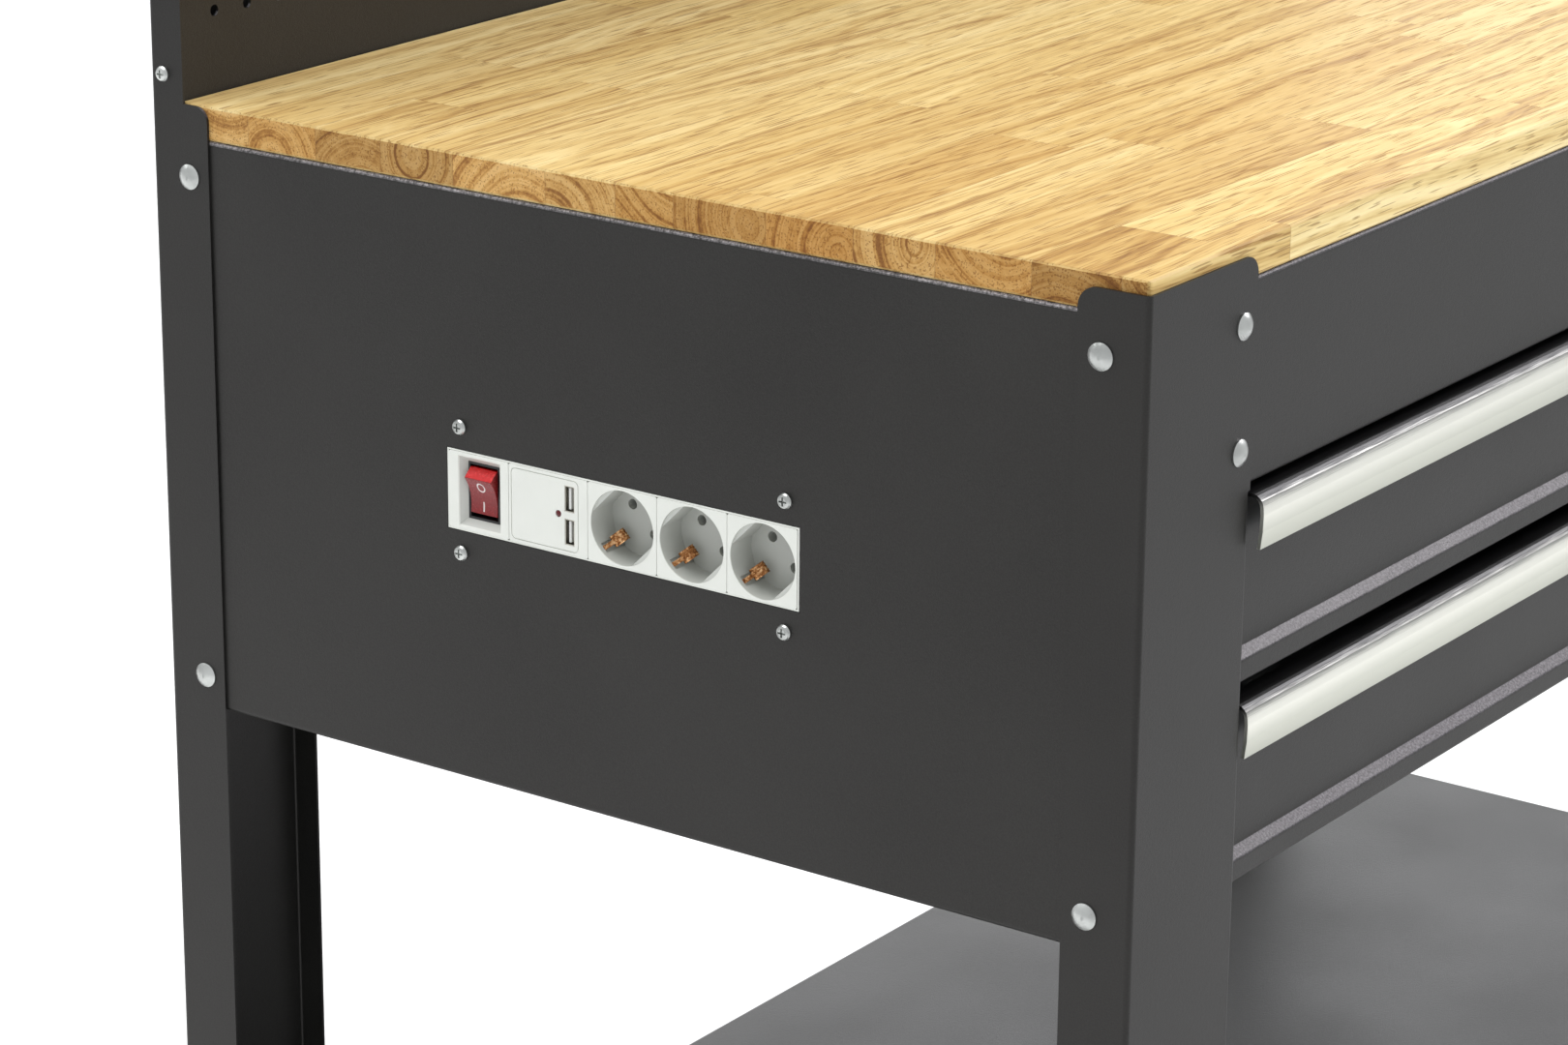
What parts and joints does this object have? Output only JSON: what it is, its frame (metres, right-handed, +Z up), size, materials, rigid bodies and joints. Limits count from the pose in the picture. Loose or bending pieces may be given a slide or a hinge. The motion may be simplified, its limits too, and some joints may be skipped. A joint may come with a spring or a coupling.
{
  "type": "workbench with drawers",
  "caption": "Steel-framed workbench with a solid wood top, two full-width drawers, a pegboard back, a lower shelf and a power strip in one side.",
  "frame": {"origin": "floor level, at the middle of the four floor anchor holes", "axes": "+Z up, -Y towards the user at the drawer fronts, +X to the user's right"},
  "size_m": [1.1666, 0.6101, 1.44],
  "materials": {
    "charcoal_coat": "fine-textured satin powder coat",
    "rubberwood": "clear-oiled edge-glued staves",
    "white_plastic": "satin moulded plastic",
    "aluminium": "satin anodised",
    "zinc_steel": "bright zinc plated",
    "black_plastic": "fine matt",
    "red_plastic": "translucent gloss",
    "red_lens": "gloss",
    "copper": "bare rolled strip"
  },
  "bodies": {
    "bench": {"post_front_left": "charcoal_coat", "post_front_right": "charcoal_coat", "post_rear_left": "charcoal_coat", "post_rear_right": "charcoal_coat", "side_panel_left": "charcoal_coat", "side_panel_right": "charcoal_coat", "front_rail": "charcoal_coat", "rear_rail": "charcoal_coat", "worktop": "rubberwood", "worktop_crossbars": "charcoal_coat", "shelf": "charcoal_coat", "pegboard_lower": "charcoal_coat", "pegboard_upper": "charcoal_coat", "runner_plate_left": "charcoal_coat", "runner_plate_right": "charcoal_coat", "runner_outer_upper_left": "zinc_steel", "runner_outer_upper_right": "zinc_steel", "runner_outer_lower_left": "zinc_steel", "runner_outer_lower_right": "zinc_steel", "cabinet_rivets": "zinc_steel", "foot_plates": "charcoal_coat", "strip_housing": "white_plastic", "switch_frame": "white_plastic", "switch_body": "black_plastic", "usb_module": "white_plastic", "usb_ports": "zinc_steel", "indicator_lens": "red_lens", "socket_rear": "white_plastic", "socket_middle": "white_plastic", "socket_front": "white_plastic", "earth_clips": "copper", "strip_bracket": "charcoal_coat", "cable_gland": "black_plastic", "frame_bolts": "zinc_steel", "frame_nuts": "zinc_steel", "panel_screws": "zinc_steel", "worktop_screws": "zinc_steel"},
    "drawer_upper": {"drawer_tray_upper": "charcoal_coat", "drawer_walls_upper": "charcoal_coat", "drawer_front_upper": "charcoal_coat", "drawer_handle_upper": "aluminium", "drawer_screws_upper": "zinc_steel", "drawer_rivets_upper": "zinc_steel", "runner_inner_upper_left": "zinc_steel", "runner_inner_upper_right": "zinc_steel"},
    "drawer_lower": {"drawer_tray_lower": "charcoal_coat", "drawer_walls_lower": "charcoal_coat", "drawer_front_lower": "charcoal_coat", "drawer_handle_lower": "aluminium", "drawer_screws_lower": "zinc_steel", "drawer_rivets_lower": "zinc_steel", "runner_inner_lower_left": "zinc_steel", "runner_inner_lower_right": "zinc_steel"},
    "runners_upper": {"runner_middle_upper_left": "zinc_steel", "runner_middle_upper_right": "zinc_steel", "runner_balls_upper": "zinc_steel"},
    "runners_lower": {"runner_middle_lower_left": "zinc_steel", "runner_middle_lower_right": "zinc_steel", "runner_balls_lower": "zinc_steel"},
    "switch_rocker": {"rocker": "red_plastic"}
  },
  "joints": [
    {"name": "drawer_upper_slide", "type": "slide", "parent": "bench", "child": "drawer_upper", "axis": [0, -1, 0], "range_m": [-0.004, 0.496]},
    {"name": "drawer_lower_slide", "type": "slide", "parent": "bench", "child": "drawer_lower", "axis": [0, -1, 0], "range_m": [0, 0.5]},
    {"name": "runners_upper_slide", "type": "slide", "parent": "bench", "child": "runners_upper", "axis": [0, -1, 0], "range_m": [-0.002, 0.248]},
    {"name": "runners_lower_slide", "type": "slide", "parent": "bench", "child": "runners_lower", "axis": [0, -1, 0], "range_m": [0, 0.25]},
    {"name": "rocker_tilt", "type": "hinge", "parent": "bench", "child": "switch_rocker", "pos_m": [-0.571, 0.0868, 0.6764], "axis": [0, 1, 0], "range_deg": [0, 28]}
  ],
  "couplings": [
    {"joint": "runners_upper_slide", "follows": "drawer_upper_slide", "ratio": 0.5},
    {"joint": "runners_lower_slide", "follows": "drawer_lower_slide", "ratio": 0.5}
  ]
}
